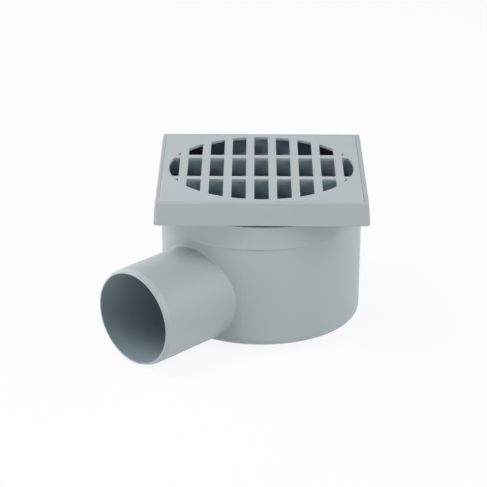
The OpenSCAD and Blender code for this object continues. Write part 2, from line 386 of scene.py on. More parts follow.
def raw_object(name: str, surface: Surface) -> bpy.types.Object:
    """Makes a mesh object of a surface, with its faces turned outwards.

    Args:
        name: the object's name.
        surface: the surface, in millimetres.

    Returns:
        The object, linked to the scene.
    """
    mesh = bpy.data.meshes.new(name)
    mesh.from_pydata(surface.points * MM, [], surface.faces)
    sheet = bmesh.new()
    sheet.from_mesh(mesh)
    bmesh.ops.recalc_face_normals(sheet, faces=sheet.faces)
    sheet.to_mesh(mesh)
    sheet.free()
    return put(name, mesh)


def shaped(name: str, base: Surface, cuts: Sequence[tuple[Cut, Surface]]) -> bpy.types.Object:
    """Adds solids to a solid and takes others from it, in order.

    Args:
        name: name of the object that is made.
        base: the solid to start from.
        cuts: each further solid, with what it does.

    Returns:
        One object with the final mesh and no modifiers.
    """
    obj = raw_object(name, base)
    tools = []
    for cut, surface in cuts:
        tool = raw_object(name + "_tool", surface)
        step = obj.modifiers.new("cut", "BOOLEAN")
        step.operation, step.object, step.solver = cut.value, tool, "EXACT"
        tools.append(tool)
    bpy.context.view_layer.update()
    seen = obj.evaluated_get(bpy.context.evaluated_depsgraph_get())
    mesh = bpy.data.meshes.new_from_object(seen)
    obj.modifiers.clear()
    obj.data = mesh
    for tool in tools:
        bpy.data.meshes.remove(tool.data)
    return obj


def store(mesh: bpy.types.Mesh, name: str, values: np.ndarray) -> None:
    """Stores a number on each face of a mesh."""
    mark = mesh.attributes.new(name, "FLOAT", "FACE")
    mark.data.foreach_set("value", values.astype(np.float32))


def mark_edge_highlight(mesh: bpy.types.Mesh) -> None:
    """Stores on each face how sharp the outer edge is that it rounds, as the mask of a painted edge
    highlight.

    Across every edge the bend is the angle between the two faces, divided by the distance between
    their middles, which is one over the radius of a rounding. It counts where the edge stands out.
    A face takes the sharpest bend on its sides, and FULL_EDGE_BEND gives 1.

    Args:
        mesh: the finished mesh, in metres.
    """
    sheet = bmesh.new()
    sheet.from_mesh(mesh)
    bend = np.zeros(len(sheet.faces))
    for edge in sheet.edges:
        if len(edge.link_faces) == 2 and edge.is_convex:
            one, other = edge.link_faces
            apart = (one.calc_center_median() - other.calc_center_median()).length / MM
            value = edge.calc_face_angle(0.0) / max(apart, LEAST_STEP_MM)
            for face in (one, other):
                bend[face.index] = max(bend[face.index], value)
    sheet.free()
    store(mesh, EDGE_HIGHLIGHT, np.clip(bend / FULL_EDGE_BEND, 0, 1))


def mark_inner_shade(mesh: bpy.types.Mesh, is_inner: InnerRule) -> None:
    """Stores on each face whether it lies inside its piece, as the mask of a painted shade that
    makes it darker and bluer.

    Args:
        mesh: the finished mesh, in metres.
        is_inner: tells it for all faces, from their middles in mm and their normals.
    """
    middles = np.array([face.center for face in mesh.polygons]) / MM
    normals = np.array([face.normal for face in mesh.polygons])
    store(mesh, INNER_SHADE, is_inner(middles, normals))


def arms_from(points: np.ndarray, start: np.ndarray, along: np.ndarray) -> np.ndarray:
    """Arms to points, at right angles from the axis that runs along a unit vector from start."""
    arm = points - start
    return arm - np.outer(arm @ along, along)


def looks_in(arms: np.ndarray, normals: np.ndarray) -> np.ndarray:
    """Tells which faces look towards the axis that their arms come from."""
    away = np.einsum("ij,ij->i", arms, normals) / np.maximum(np.linalg.norm(arms, axis=1), TINY)
    return away < -FACING


@dataclass(frozen=True)
class Place:
    """Where a piece belongs: the node it stands for, the body it rides on and its slot."""

    node: str
    body: str
    slot: str


def finished(
    obj: bpy.types.Object,
    place: Place,
    material: bpy.types.Material,
    is_inner: InnerRule | None = None,
) -> None:
    """Smooths, dresses and places a piece.

    Args:
        obj: the piece, with its final shape.
        place: the node, body and slot that it belongs to.
        material: its finish.
        is_inner: tells which faces take the finish's painted inner shade, if any.
    """
    mesh = obj.data
    sheet = bmesh.new()
    sheet.from_mesh(mesh)
    bmesh.ops.remove_doubles(sheet, verts=sheet.verts, dist=WELD_M)
    bmesh.ops.dissolve_degenerate(sheet, edges=sheet.edges, dist=WELD_M)
    sheet.to_mesh(mesh)
    sheet.free()
    mark_edge_highlight(mesh)
    if is_inner is not None:
        mark_inner_shade(mesh, is_inner)
    mesh.shade_smooth()
    mesh.set_sharp_from_angle(angle=math.radians(SHARP_DEG))
    weighted = obj.modifiers.new("flat_faces_first", "WEIGHTED_NORMAL")
    weighted.keep_sharp = True
    mesh.materials.clear()
    mesh.materials.append(material)
    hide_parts(place.node)
    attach(obj, place.body)
    LOG.info("%s: %d faces on %s", obj.name, len(mesh.polygons), place.body)


@dataclass
class Pot:
    """Round pot with its socket, foot ring and falling side outlet, in one moulding."""

    foot_h: float = 2.8
    foot_r: float = 39.5
    foot_w: float = 3.0
    foot_lean: float = 0.3
    hub_r: float = 7.0
    rib_count: int = 6
    rib_t: float = 2.0
    rib_gap: float = 0.8
    rib_lean: float = 0.15
    rib_sink: float = 0.2
    floor_t: float = 2.0
    base_r: float = 51.2
    base_round: float = 5.1
    wall_r: float = 51.6
    collar_r: float = 52.1
    collar_z: float = 56.3
    rim_z: float = 68.3
    bore_base_r: float = 49.2
    bore_top_r: float = 49.5
    step_drop: float = 1.6
    socket_r: float = 50.0
    lead_in: float = 0.8
    outlet_z: float = 27.45
    outlet_r: float = 25.0
    outlet_bore_r: float = 23.2
    outlet_mouth: float = 0.15
    outlet_swell: float = 0.15
    outlet_start: float = 38.0
    outlet_sill: float = 44.2
    straight_start: float = 55.3
    straight_end: float = 89.3
    outlet_reach: float = 92.3
    guide_r: float = 1.1
    outlet_turn: float = 43.5
    outlet_fall: float = 0.02
    root_round: float = 1.0
    lip: float = 0.12
    lip_h: float = 0.7
    groove: float = 0.22
    groove_h: float = 0.5
    groove_end: float = 0.1
    lip_start: float = 0.05
    lines_at: tuple[float, ...] = (261.3, 259.25)
    line_h: tuple[float, ...] = (0.08, 0.05)
    line_w: float = 0.16
    overlap: float = 1.0

    @property
    def floor_z(self) -> float:
        """Height of the top of the floor."""
        return self.foot_h + self.floor_t

    def outside(self) -> Surface:
        """Turned outside of the pot, with the fine lines of the mould's parting.

        A line, and its partner at the back, lifts the wall by line_h times exp(-(d / line_w)^2),
        where d is the distance from it along the wall. The collar ends in a slight lip, with a
        fine groove below it.

        Returns:
            A solid that is full to the axis.
        """
        z, foot = self.foot_h, self.foot_r
        profile = rounded(
            [
                (0, 0, 0),
                (self.hub_r, 0, 0.3),
                (self.hub_r, z, 0.4),
                (foot - self.foot_w, z, 0.4),
                (foot - self.foot_w + self.foot_lean, 0, 0.3),
                (foot - self.foot_lean, 0, 0.3),
                (foot, z, 0.4),
                (self.base_r, z, self.base_round),
                (self.wall_r, self.collar_z - self.groove_h, 0.2),
                (self.wall_r - self.groove, self.collar_z - self.groove_end, 0.08),
                (self.collar_r + self.lip, self.collar_z + self.lip_start, 0.12),
                (self.collar_r, self.collar_z + self.lip_h, 0.4),
                (self.collar_r, self.rim_z, 0.4),
                (0, self.rim_z, 0),
            ],
            closed=False,
            steps=10,
        )
        angles = turn_angles(240, [*self.lines_at, *(line - 180 for line in self.lines_at)])
        inside, below = 0.3, 0.2
        on_wall = (profile[:, :1] > self.base_r - inside) & (profile[:, 1:] < self.rim_z - below)
        lift = np.zeros(len(angles))
        for line, height in zip(self.lines_at, self.line_h):
            away = np.abs((np.degrees(angles) - line + 90) % 180 - 90)
            lift += height * np.exp(-((np.radians(away) * self.wall_r / self.line_w) ** 2))
        return revolve(profile, angles, lift * on_wall)

    def hollow(self) -> Surface:
        """Turned hollow: sump, step and socket, with a leaning edge that guides the spigot in.

        Returns:
            The solid to take out.
        """
        step_z, over = self.collar_z - self.step_drop, self.overlap / 2
        corners = [
            (0, self.floor_z, 0),
            (self.bore_base_r, self.floor_z, self.base_round - self.floor_t),
            (self.bore_top_r, step_z, 0.3),
            (self.socket_r, step_z + self.socket_r - self.bore_top_r, 0.3),
            (self.socket_r, self.rim_z - self.lead_in, 0.3),
            (self.socket_r + self.lead_in + over, self.rim_z + over, 0),
            (0, self.rim_z + over, 0),
        ]
        return turned(corners, count=240, steps=6)

    def outlet_turned(self) -> tuple[np.ndarray, np.ndarray]:
        """Where the outlet's axis lies.

        Returns:
            The turn and the shift that carry the Z axis onto it, pointing out.
        """
        pitch = turn_about("X", math.pi / 2 + math.atan(self.outlet_fall))
        yaw = turn_about("Z", math.radians(-self.outlet_turn))
        return yaw @ pitch, self.outlet_z * UP

    def tube(self) -> Surface:
        """Outside of the outlet: slightly swollen root, straight end, chamfer to guide a socket.

        Returns:
            The solid to add.
        """
        corners = [
            (0, self.outlet_start, 0),
            (self.outlet_r + self.outlet_swell, self.outlet_start, 0),
            (self.outlet_r, self.straight_start, 0),
            (self.outlet_r, self.straight_end, 1.5),
            (self.outlet_r - self.guide_r, self.outlet_reach, 0.2),
            (0, self.outlet_reach, 0),
        ]
        return turned(corners, steps=6).moved(*self.outlet_turned())

    def tube_bore(self) -> Surface:
        """Bore of the outlet, with a small round at its mouth.

        Returns:
            The solid to take out.
        """
        over, mouth = self.overlap, self.outlet_mouth
        corners = [
            (0, self.outlet_sill, 0),
            (self.outlet_bore_r, self.outlet_sill, 0),
            (self.outlet_bore_r, self.outlet_reach - mouth, 0.4),
            (self.outlet_bore_r + mouth + over, self.outlet_reach + over, 0),
            (0, self.outlet_reach + over, 0),
        ]
        return turned(corners, steps=6).moved(*self.outlet_turned())

    def root(
        self, end: float = 66.0, fade: float = 12.0, sink: float = 0.02, seat: float = 0.03
    ) -> Surface:
        """Hollow round in the corner between the outlet and the pot.

        A ball of radius b rolls along the corner. At the angle a about the tube its middle is
        outlet_r + b from the tube's axis, and as far along the tube as brings it b outside the
        pot, which halving finds: over the rounded base edge the pot's surface is a circle, and
        above it a leaning line. The section follows the ball from the tube to the pot, and closes
        at a point inside both. Under the pot the sections sink into the corner.

        Args:
            end: angle below the sides, in degrees, at which the round is gone.
            fade: angle over which it sinks.
            sink: how far its edges lie inside the walls.
            seat: how far the tube's wall is taken outside its radius.

        Returns:
            A closed solid that overlaps the tube and the pot.
        """
        sections, arc_points, halvings = 181, 11, 40
        nearest, farthest, hidden = 20.0, 80.0, 0.3
        ball = self.root_round
        a = np.radians(np.linspace(-end, 180 + end, sections))
        tilt = math.atan(self.outlet_fall)
        along = np.array([0, -math.cos(tilt), -math.sin(tilt)])
        up = np.array([0, -math.sin(tilt), math.cos(tilt)])
        outward = np.cos(a)[:, None] * np.array([1.0, 0, 0]) + np.sin(a)[:, None] * up
        start = self.outlet_z * UP + (self.outlet_r + seat + ball) * outward
        edge_z = self.foot_h + self.base_round
        edge_r = self.base_r - self.base_round
        lean = (self.wall_r - self.base_r) / (self.collar_z - edge_z)

        def clear(w: np.ndarray) -> tuple[np.ndarray, np.ndarray]:
            """Tells where the ball is, and how far outside its place.

            Args:
                w: how far along the tube the ball is, for each angle.

            Returns:
                The ball's middle, and its distance outside its place.
            """
            point = start + w[:, None] * along
            z = point[:, 2]
            low = np.sqrt(np.maximum((self.base_round + ball) ** 2 - (edge_z - z) ** 2, 0))
            wall = self.base_r + lean * (z - edge_z) + ball
            limit = np.where(z < edge_z, edge_r + low, wall)
            return point, np.hypot(point[:, 0], point[:, 1]) - limit

        low, high = np.full(sections, nearest), np.full(sections, farthest)
        for _ in range(halvings):
            middle = (low + high) / 2
            outside = clear(middle)[1] > 0
            low, high = np.where(outside, low, middle), np.where(outside, middle, high)
        centre = clear((low + high) / 2)[0]
        radial = unit(centre * [1, 1, 0])
        edge = radial * edge_r + edge_z * UP
        to_pot = unit(np.where(centre[:, 2:] < edge_z, edge - centre, -radial))
        to_tube = -outward
        spread = np.arccos((to_tube * to_pot).sum(1))[:, None]
        inward = unit(to_tube + to_pot)
        depth = ball / np.cos(spread / 2)
        below = np.degrees(np.maximum(-a, a - math.pi))[:, None]
        sunk = np.clip(1 - (end - below) / fade, 0, 1)
        centre = centre + inward * sunk * (depth - ball + hidden)
        t = np.linspace(0, 1, arc_points)[None, :, None]
        arm = swung(to_tube[:, None], to_pot[:, None], spread[:, None], t)
        corner = centre + inward * (depth + self.overlap)
        rings = np.concatenate([centre[:, None] + (ball + sink) * arm, corner[:, None]], 1)
        return loft(rings, Ends.FLAT).moved(turn_about("Z", math.radians(-self.outlet_turn)))

    def ribs(self) -> Surface:
        """Ribs under the floor, from the hub to the foot ring, each a bar with leaning flanks.

        Returns:
            The solids to add.
        """
        half, top = self.rib_t / 2, self.foot_h + self.rib_sink
        section = np.array(
            [
                (-half, top),
                (-half + self.rib_lean, self.rib_gap),
                (half - self.rib_lean, self.rib_gap),
                (half, top),
            ]
        )
        reach = (self.hub_r - self.overlap, self.foot_r - self.foot_w / 2)
        ends = np.array([np.insert(section, 0, x, axis=1) for x in reach])
        return around(loft(ends, Ends.FLAT), self.rib_count)

    def is_inner(self, middles: np.ndarray, normals: np.ndarray) -> np.ndarray:
        """Tells which faces line the pot, its socket or the outlet's bore.

        Args:
            middles: the faces' middles.
            normals: their normals.

        Returns:
            A truth value for each face.
        """
        outside, below = 0.6, 0.1
        turn, start = self.outlet_turned()
        arms = arms_from(middles, start, turn[:, 2])
        bore = np.linalg.norm(arms, axis=1) < self.outlet_bore_r + outside
        upright = arms_from(middles, np.zeros(3), UP)
        floor = (np.linalg.norm(upright, axis=1) < self.bore_base_r) & (normals[:, 2] > FACING)
        above = middles[:, 2] > self.floor_z - below
        return (bore & looks_in(arms, normals)) | (above & (floor | looks_in(upright, normals)))

    def build(self, material: bpy.types.Material) -> None:
        """Makes the pot.

        Args:
            material: its plastic.
        """
        cuts = [
            (Cut.ADD, self.ribs()),
            (Cut.ADD, self.tube()),
            (Cut.TAKE, self.hollow()),
            (Cut.TAKE, self.tube_bore()),
            (Cut.ADD, self.root()),
        ]
        obj = shaped("pot_moulding", self.outside(), cuts)
        finished(obj, Place("pot", "pot_body", "pot_plastic"), material, self.is_inner)


@dataclass
class TurningFrame:
    """Square tray with a round spigot below it, in one moulding."""

    half: float = 52.6
    flare: float = 0.9
    corner: float = 1.6
    base_z: float = 69.6
    top_z: float = 81.3
    edge: float = 0.5
    tray_half: float = 50.5
    tray_corner: float = 1.0
    tray_at_x: float = -0.15
    tray_z: float = 71.7
    least_corner: float = 0.3
    throat_r: float = 46.6
    throat_step: float = 2.0
    relief: float = 1.0
    relief_z: float = 70.4
    relief_lean: float = 0.2
    throat_wall_r: float = 48.4
    shelf_z: float = 67.4
    shoulder: float = 2.0
    bore_r: float = 44.4
    spigot_r: float = 46.4
    spigot_end_z: float = 51.0
    ring_z: float = 58.6
    gland: float = 1.85
    collar_t: float = 1.5
    collar_r: float = 49.0

    def section(self) -> tuple[np.ndarray, np.ndarray]:
        """Closed section of the frame: the reach and height of each point, and its roundness.

        Returns:
            Array of reach and height, and an array that is 0 where the ring through the point is
            a square and 1 where it is a circle.
        """
        turn_r = self.throat_r + self.throat_step
        tray = [
            (self.half + self.flare, self.base_z, 0.25),
            (self.half, self.top_z, self.edge),
            (self.tray_half, self.top_z, 0.25),
            (self.tray_half, self.tray_z, 0.3),
            (turn_r, self.tray_z, 0),
        ]
        throat = [
            (self.throat_r + self.relief, self.tray_z, 0.2),
            (self.throat_r + self.relief, self.relief_z, 0.3),
            (self.throat_r, self.relief_z - self.relief_lean, 0.3),
            (self.throat_r, self.shelf_z, 0.15),
            (self.bore_r, self.shelf_z, 0.3),
            (self.bore_r, self.spigot_end_z, 0.25),
            (self.spigot_r, self.spigot_end_z, 0.5),
        ]
        collars = []
        for low in (self.ring_z - self.gland - self.collar_t, self.ring_z + self.gland):
            collars += [
                (self.spigot_r, low, 0.2),
                (self.collar_r, low, 0.25),
                (self.collar_r, low + self.collar_t, 0.25),
                (self.spigot_r, low + self.collar_t, 0.2),
            ]
        outside = [
            (self.spigot_r, self.shelf_z - 2 * self.shoulder, 0.5),
            (self.throat_wall_r, self.shelf_z - self.shoulder, 0.5),
            (self.throat_wall_r, self.base_z, 0.3),
        ]
        line = rounded(tray + throat + collars + outside, closed=True)
        turn = int(np.argmin(np.hypot(line[:, 0] - turn_r, line[:, 1] - self.tray_z)))
        return line, (np.arange(len(line)) > turn).astype(float)

    def rings(self) -> np.ndarray:
        """Rings through the section's points.

        A square ring has the reach as its half width, and a corner radius that shrinks with it.
        A circle takes its angles from the square, so that faces between the two lie straight. The
        tray sits a little to the left in the frame.

        Returns:
            Array of rings, by points, by x y z.
        """
        line, roundness = self.section()
        middle = (self.half + self.tray_half) / 2
        rows = []
        for (reach, z), circle in zip(line, roundness):
            in_tray = reach <= middle
            corner = self.tray_corner - self.tray_half if in_tray else self.corner - self.half
            square = square_line(
                min(reach, self.half + self.flare), max(corner + reach, self.least_corner)
            )
            if circle:
                square = reach * unit(square)
            elif in_tray:
                square = square + [self.tray_at_x, 0.0]
            rows.append(at_height(square, z))
        return np.array(rows)

    def is_inner(self, middles: np.ndarray, normals: np.ndarray) -> np.ndarray:
        """Tells which faces line the tray, below its rounded rim, or the throat."""
        wall = looks_in(arms_from(middles, np.zeros(3), UP), normals)
        return (wall | (normals[:, 2] > FACING)) & (middles[:, 2] < self.top_z - 2 * self.edge)

    def build(self, material: bpy.types.Material) -> None:
        """Makes the frame of its plastic."""
        obj = raw_object("frame_moulding", loft(self.rings(), Ends.LOOP))
        finished(obj, Place("frame", "frame_body", "frame_plastic"), material, self.is_inner)


@dataclass
class Grating:
    """Square grating: slots clipped by a circle between bars that are deep ribs below."""

    top_z: float = 81.3
    plate_t: float = 1.5
    half: float = 50.4
    corner: float = 0.9
    least_corner: float = 0.3
    edge: float = 0.3
    pitch: float = 11.4
    slot_w: float = 7.2
    least_slot_w: float = 0.5
    columns: int = 9
    bar_y: float = 16.1
    bar_w: float = 4.2
    circle_r: float = 47.3
    plate_at_x: float = -0.18
    grid_at: tuple[float, float] = (-0.15, 0.4)
    rib_h: float = 7.7
    draft: float = 0.5
    cell_corner: float = 0.35
    cross_foot_z: float = 71.3
    cross_draft: float = 0.15
    cross_reach: float = 41.0
    cross_corner: float = 0.3
    cross_slim: tuple[float, ...] = (0.25, 0.2, 0.17)
    cross_edge: float = 0.1
    cross_weld: float = 0.3
    skirt_half: float = 49.4
    skirt_t: float = 1.6
    foot_z: float = 71.7
    lip: float = 0.15
    slot_corner: float = 0.4
    slot_points: int = 25
    corner_turn_deg: float = 20.0
    overlap: float = 0.1
    cut_past: float = 1.0

    @property
    def plate_z(self) -> float:
        """Height of the plate's underside."""
        return self.top_z - self.plate_t

    @property
    def rib_z(self) -> float:
        """Height of the ribs' feet."""
        return self.plate_z - self.rib_h

    @property
    def inner(self) -> float:
        """Half the width inside the skirt."""
        return self.skirt_half - self.skirt_t

    @property
    def bar_sides(self) -> tuple[float, float]:
        """Distance of a cross bar's near and far side from the middle, at the plate."""
        return self.bar_y - self.bar_w / 2, self.bar_y + self.bar_w / 2

    def block(self) -> Surface:
        """Plate and skirt as a full block, before the slots and cells are taken from it.

        Returns:
            The solid to start from.
        """
        section = rounded(
            [
                (self.inner / 2, self.rib_z, 0),
                (self.inner, self.rib_z, 0),
                (self.inner, self.foot_z, 0.15),
                (self.skirt_half, self.foot_z, 0.25),
                (self.skirt_half, self.plate_z, 0.15),
                (self.half, self.plate_z, 0.15),
                (self.half, self.top_z, self.edge),
                (self.half - self.plate_t, self.top_z, 0),
            ],
            closed=False,
        )
        layers = []
        for reach, z in section:
            corner = max(self.corner + reach - self.half, self.least_corner)
            layers.append((square_line(reach, corner, side_steps=4), z))
        return stacked(layers).shifted(self.plate_at_x, 0.0)

    def slot_line(self, column: int, row: int) -> np.ndarray | None:
        """Outline of a slot at the plate.

        The sides run at half a slot's width from the column's middle. Each end is the row's own
        end or the circle, whichever is nearer: y is at most the root of the circle's radius
        squared minus x squared.

        Args:
            column: number of the column, 0 in the middle.
            row: -1 at the front, 0 in the middle, 1 at the back.

        Returns:
            Closed outline against the clock with rounded corners, or None where nothing is left.
        """
        near, far = self.bar_sides
        start, limit = (0.0, near) if row == 0 else (far, self.circle_r)
        centre, half_w = abs(column) * self.pitch, self.slot_w / 2
        low, high = centre - half_w, min(centre + half_w, math.sqrt(self.circle_r**2 - start**2))
        if high - low < self.least_slot_w:
            return None
        x = np.linspace(low, high, self.slot_points)
        corner_x = math.sqrt(self.circle_r**2 - limit**2)
        if row == 0 and low < corner_x < high:
            x = np.sort(np.append(x, corner_x))
        y = np.minimum(limit, np.sqrt(np.maximum(self.circle_r**2 - x**2, 0)))
        end = np.stack([x, y], 1)[::-1]
        foot = np.stack([x, -y], 1) if row == 0 else [[low, start], [high, start]]
        line = np.vstack([foot, end])
        line = line[np.linalg.norm(np.roll(line, -1, 0) - line, axis=1) > TINY]
        line = self.soft_corners(line)
        if column < 0:
            line = line[::-1] * [-1, 1]
        if row < 0:
            line = line[::-1] * [1, -1]
        return line

    def soft_corners(self, line: np.ndarray) -> np.ndarray:
        """Rounds the corners of an outline that turn by more than corner_turn_deg.

        Args:
            line: the outline against the clock.

        Returns:
            The outline with an arc at each such corner, and without the points too near to it.
        """
        back, ahead = line - np.roll(line, 1, 0), np.roll(line, -1, 0) - line
        cross = back[:, 0] * ahead[:, 1] - back[:, 1] * ahead[:, 0]
        is_corner = np.degrees(np.arctan2(cross, (back * ahead).sum(1))) > self.corner_turn_deg
        radius = np.where(is_corner, self.slot_corner, 0)
        keep, near = np.ones(len(line), bool), self.slot_corner * 1.4
        for n in np.flatnonzero(is_corner):
            keep &= (np.linalg.norm(line - line[n], axis=1) > near) | is_corner
        return rounded(np.column_stack([line, radius])[keep], closed=True, steps=4)

    def slot(self, line: np.ndarray) -> Surface:
        """Slot through the plate with a rounded lip.

        At an angle t up the lip the outline is grown by lip times (1 - cos t), at a depth of lip
        times (1 - sin t) below the top face.

        Args:
            line: the slot's outline.

        Returns:
            The solid to take out.
        """
        layers, least = [(line, self.plate_z - self.overlap)], 1e-4
        for t in np.radians([0, 25, 50, 90]):
            z = self.top_z - self.lip * (1 - math.sin(t))
            layers.append((grown(line, self.lip * (1 - math.cos(t)) + least), z))
        layers.append((grown(line, self.lip), self.top_z + self.cut_past))
        return stacked(layers)

    def cell(self, column: int, row: int) -> Surface:
        """Space between the ribs under the plate, which widens downwards where ribs bound it.

        Args:
            column: number of the column, 0 in the middle.
            row: -1 at the front, 0 in the middle, 1 at the back.

        Returns:
            The solid to take out.
        """
        last = (self.columns - 1) // 2
        low_z = self.rib_z - self.cut_past
        near, far = self.bar_sides
        layers = []
        for z, share in ((self.plate_z, 0.0), (low_z, (self.plate_z - low_z) / self.rib_h)):
            half, lean = self.slot_w / 2 + share * self.draft, share * self.cross_draft
            left = -self.inner if column == -last else column * self.pitch - half
            right = self.inner if column == last else column * self.pitch + half
            y = {
                -1: (-self.inner, -(far - lean)),
                0: (-(near + lean), near + lean),
                1: (far - lean, self.inner),
            }[row]
            layers.append((rectangle((left, right), y, self.cell_corner, steps=3), z))
        return stacked(layers)

    def cross_foot(self, side: int) -> Surface:
        """Lower part of a cross bar, which reaches deeper between the walls of the throat.

        Args:
            side: -1 for the front bar, 1 for the back bar.

        Returns:
            The solid to add.
        """
        low, y = self.cross_foot_z, side * self.bar_y
        heights = (low, low + self.cross_edge, self.rib_z + self.cross_weld)
        layers = []
        for z, slim in zip(heights, self.cross_slim):
            reach, half = self.cross_reach - slim, self.bar_w / 2 - slim
            line = rectangle((-reach, reach), (y - half, y + half), self.cross_corner, steps=3)
            layers.append((line, z))
        return stacked(layers)

    def is_inner(self, middles: np.ndarray, _: np.ndarray) -> np.ndarray:
        """Tells which faces lie below the plate."""
        return middles[:, 2] < self.plate_z + self.overlap / 2

    def build(self, material: bpy.types.Material) -> None:
        """Makes the grating.

        Args:
            material: its plastic.
        """
        last = (self.columns - 1) // 2
        places = [(column, row) for column in range(-last, last + 1) for row in (-1, 0, 1)]
        lines = [line for place in places if (line := self.slot_line(*place)) is not None]
        grid = (
            (Cut.TAKE, [self.cell(*place) for place in places]),
            (Cut.TAKE, [self.slot(line) for line in lines]),
            (Cut.ADD, [self.cross_foot(side) for side in (-1, 1)]),
        )
        cuts = [(cut, joined(parts).shifted(*self.grid_at)) for cut, parts in grid]
        obj = shaped("grate_moulding", self.block(), cuts)
        finished(obj, Place("grate", "frame_body", "grate_plastic"), material, self.is_inner)


@dataclass
class Seals:
    """Round sealing cord between frame and pot, and the flat gasket under the cup."""

    cord_r: float = 1.75
    cord_path_r: float = 48.2
    cord_z: float = 58.6
    flash: float = 0.04
    flash_w: float = 0.1
    gasket_in_r: float = 44.5
    gasket_out_r: float = 46.35
    gasket_z: float = 67.4
    gasket_t: float = 1.2
    gasket_edge: float = 0.2

    def cord(self) -> Surface:
        """Turned circle, which carries the thin flash line of its mould inside.

        The flash lifts the circle by flash times exp(-((t - pi) / flash_w)^2) at its angle t.

        Returns:
            The cord.
        """
        t = np.linspace(0, 2 * math.pi, 41)[:-1]
        flash = self.flash * np.exp(-((np.abs(t - math.pi) / self.flash_w) ** 2))
        circle = np.stack([(self.cord_r + flash) * np.cos(t), self.cord_r * np.sin(t)], 1)
        return revolve(circle + [self.cord_path_r, self.cord_z], turn_angles(180))

    def gasket(self) -> Surface:
        """Turned rectangle with rounded edges."""
        width, height = (self.gasket_in_r, self.gasket_out_r), (0.0, self.gasket_t)
        section = rectangle(width, height, self.gasket_edge) + [0.0, self.gasket_z]
        return revolve(section, turn_angles(180))

    def build(self, material: bpy.types.Material) -> None:
        """Makes both seals.

        Args:
            material: their rubber.
        """
        cord = raw_object("sealing_cord", self.cord())
        gasket = raw_object("cup_seal", self.gasket())
        finished(cord, Place("seal_ring", "ring_body", "seal_rubber"), material)
        finished(gasket, Place("cup_gasket", "frame_body", "seal_rubber"), material)


